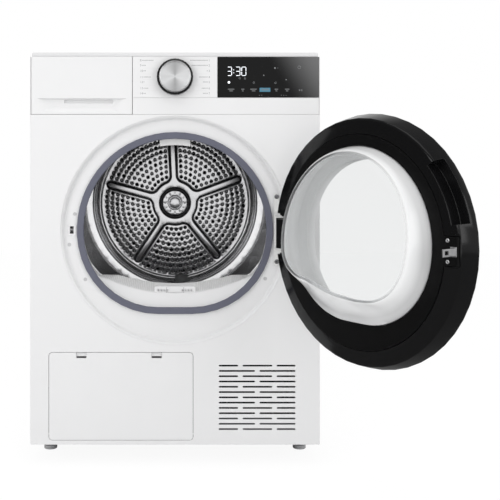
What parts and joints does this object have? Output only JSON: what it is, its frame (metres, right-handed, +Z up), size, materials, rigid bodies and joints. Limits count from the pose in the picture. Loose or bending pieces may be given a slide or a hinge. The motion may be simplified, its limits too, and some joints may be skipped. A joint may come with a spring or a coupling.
{
  "type": "clothes dryer",
  "caption": "Front loading heat pump clothes dryer with its round door open, perforated drum, lint filter, water drawer, service flap and turning selector.",
  "frame": {"origin": "on the floor under the middle of the whole dryer's box, with its door standing open", "axes": "+X to the right as seen from the front, +Y to the rear, +Z up"},
  "size_m": [0.7806, 1.0466, 0.845],
  "materials": {
    "white_paint": "satin white enamel",
    "white_plastic": "satin moulded",
    "white_gloss": "satin white moulded",
    "black_gloss": "high gloss",
    "black_satin": "satin",
    "seal_rubber": "matt",
    "drum_steel": "bright drawn stainless",
    "zinc_steel": "galvanised",
    "cast_grey": "die cast, grey lacquer",
    "belt_rubber": "ribbed",
    "felt_grey": "pressed felt",
    "grey_plastic": "moulded",
    "board_green": "lacquered laminate",
    "spun_aluminium": "turned and clear coated",
    "copper": "copper tube in aluminium fins",
    "aluminium_fin": "mill finish",
    "clear_glass": "pressed, fire polished",
    "lamp_plastic": "translucent",
    "slate_plastic": "moulded",
    "compressor_black": "stoved black"
  },
  "bodies": {
    "cabinet": {"front_panel": "white_paint", "side_panel_left": "white_paint", "side_panel_right": "white_paint", "rear_panel": "zinc_steel", "rear_air_duct": "zinc_steel", "top_cover": "white_gloss", "base_tray": "grey_plastic", "foot_front_left": "grey_plastic", "foot_front_right": "grey_plastic", "foot_rear_left": "grey_plastic", "foot_rear_right": "grey_plastic", "control_fascia": "white_gloss", "display_window": "black_gloss", "control_board": "board_green", "selector_encoder": "grey_plastic", "tank_shelf": "grey_plastic", "door_seal": "seal_rubber", "front_shield": "white_plastic", "drum_felt": "felt_grey", "lamp_cover": "lamp_plastic", "door_lock": "white_plastic", "hinge_bracket": "cast_grey", "hinge_pin": "zinc_steel", "exchanger_cover": "grey_plastic", "evaporator": "aluminium_fin", "condenser": "copper", "compressor": "compressor_black", "drive_belt": "belt_rubber", "drive_motor": "zinc_steel", "rear_bearing": "zinc_steel", "fan_frame": "black_satin", "condensate_pump": "grey_plastic", "condensate_hose": "grey_plastic", "cord_gland": "belt_rubber"},
    "selector": {"selector_knob": "black_gloss", "knob_cap": "spun_aluminium"},
    "drawer": {"drawer_front": "white_gloss", "water_tank": "white_plastic"},
    "filter": {"lint_filter": "white_plastic"},
    "drum": {"drum_shell": "drum_steel", "drum_back": "drum_steel", "drum_lifter_1": "white_plastic", "drum_lifter_2": "white_plastic", "drum_lifter_3": "white_plastic", "drum_shaft": "zinc_steel"},
    "roller_left": {"support_roller_left": "belt_rubber"},
    "roller_right": {"support_roller_right": "belt_rubber"},
    "rotor": {"motor_shaft": "zinc_steel", "blower_wheel": "grey_plastic"},
    "door": {"door_outer_ring": "black_gloss", "door_inner_frame": "black_satin", "door_glass": "clear_glass", "door_hook": "zinc_steel", "door_hinge": "black_satin"},
    "flap": {"service_flap": "white_gloss"},
    "latch_1": {"flap_latch_1": "white_plastic"},
    "latch_2": {"flap_latch_2": "white_plastic"},
    "lever_1": {"exchanger_lever_1": "slate_plastic"},
    "lever_2": {"exchanger_lever_2": "slate_plastic"},
    "fan": {"cooling_fan": "black_satin"}
  },
  "joints": [
    {"name": "door_swing", "type": "hinge", "parent": "cabinet", "child": "door", "pos_m": [0.12976, -0.11665, 0.478], "axis": [0, 0, 1], "range_deg": [-124.8, 45]},
    {"name": "drum_spin", "type": "hinge", "parent": "cabinet", "child": "drum", "pos_m": [-0.09664, 0.22335, 0.51], "axis": [0, 1, 0], "continuous": true},
    {"name": "roller_left_spin", "type": "hinge", "parent": "cabinet", "child": "roller_left", "pos_m": [-0.27618, 0.01735, 0.25264], "axis": [0, 1, 0], "continuous": true},
    {"name": "roller_right_spin", "type": "hinge", "parent": "cabinet", "child": "roller_right", "pos_m": [0.0829, 0.01735, 0.25264], "axis": [0, 1, 0], "continuous": true},
    {"name": "motor_spin", "type": "hinge", "parent": "cabinet", "child": "rotor", "pos_m": [0.10836, 0.36335, 0.112], "axis": [0, 1, 0], "continuous": true},
    {"name": "fan_spin", "type": "hinge", "parent": "cabinet", "child": "fan", "pos_m": [0.07206, -0.02265, 0.134], "axis": [0, 1, 0], "continuous": true},
    {"name": "selector_turn", "type": "hinge", "parent": "cabinet", "child": "selector", "pos_m": [-0.09664, -0.08665, 0.793], "axis": [0, 1, 0], "continuous": true},
    {"name": "drawer_slide", "type": "slide", "parent": "cabinet", "child": "drawer", "axis": [0, -1, 0], "range_m": [0, 0.36]},
    {"name": "filter_lift", "type": "slide", "parent": "cabinet", "child": "filter", "axis": [0, 0, 1], "range_m": [0, 0.13]},
    {"name": "flap_tilt", "type": "hinge", "parent": "cabinet", "child": "flap", "pos_m": [-0.20764, -0.07265, 0.0594], "axis": [1, 0, 0], "range_deg": [0, 90]},
    {"name": "latch_1_slide", "type": "slide", "parent": "flap", "child": "latch_1", "axis": [0, 0, -1], "range_m": [0, 0.0026], "stiffness_N_per_m": 60},
    {"name": "latch_2_slide", "type": "slide", "parent": "flap", "child": "latch_2", "axis": [0, 0, -1], "range_m": [0, 0.0026], "stiffness_N_per_m": 60},
    {"name": "lever_1_turn", "type": "hinge", "parent": "cabinet", "child": "lever_1", "pos_m": [-0.31544, -0.05465, 0.1382], "axis": [0, 1, 0], "range_deg": [0, 90]},
    {"name": "lever_2_turn", "type": "hinge", "parent": "cabinet", "child": "lever_2", "pos_m": [-0.09984, -0.05465, 0.1382], "axis": [0, 1, 0], "range_deg": [-90, 0]}
  ],
  "couplings": [
    {"joint": "roller_left_spin", "follows": "drum_spin", "ratio": -11.54},
    {"joint": "roller_right_spin", "follows": "drum_spin", "ratio": -11.54},
    {"joint": "motor_spin", "follows": "drum_spin", "ratio": 24.042}
  ]
}
